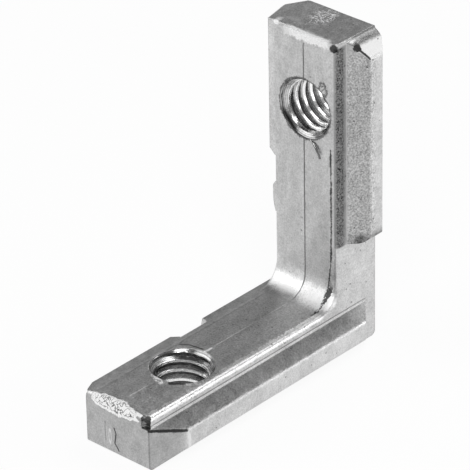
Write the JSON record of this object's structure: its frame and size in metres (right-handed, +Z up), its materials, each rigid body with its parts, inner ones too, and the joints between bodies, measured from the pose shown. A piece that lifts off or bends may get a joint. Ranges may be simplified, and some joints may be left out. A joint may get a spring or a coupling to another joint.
{
  "type": "t-slot corner bracket",
  "caption": "L-shaped inner bracket that joins slotted profiles at a right angle: arms with slot-gripping wings and a tapped hole through each arm.",
  "frame": {"origin": "where the foot's tapped hole opens in the foot's flat outer face, midway across the neck", "axes": "+X along the foot from the corner to its tip, +Z up the upright, +Y across both arms towards the side with the full length wings"},
  "size_m": [0.031, 0.0106, 0.0325],
  "materials": {
    "zinc_casting": "satin"
  },
  "bodies": {
    "root": {"bracket": "zinc_casting"}
  },
  "joints": []
}
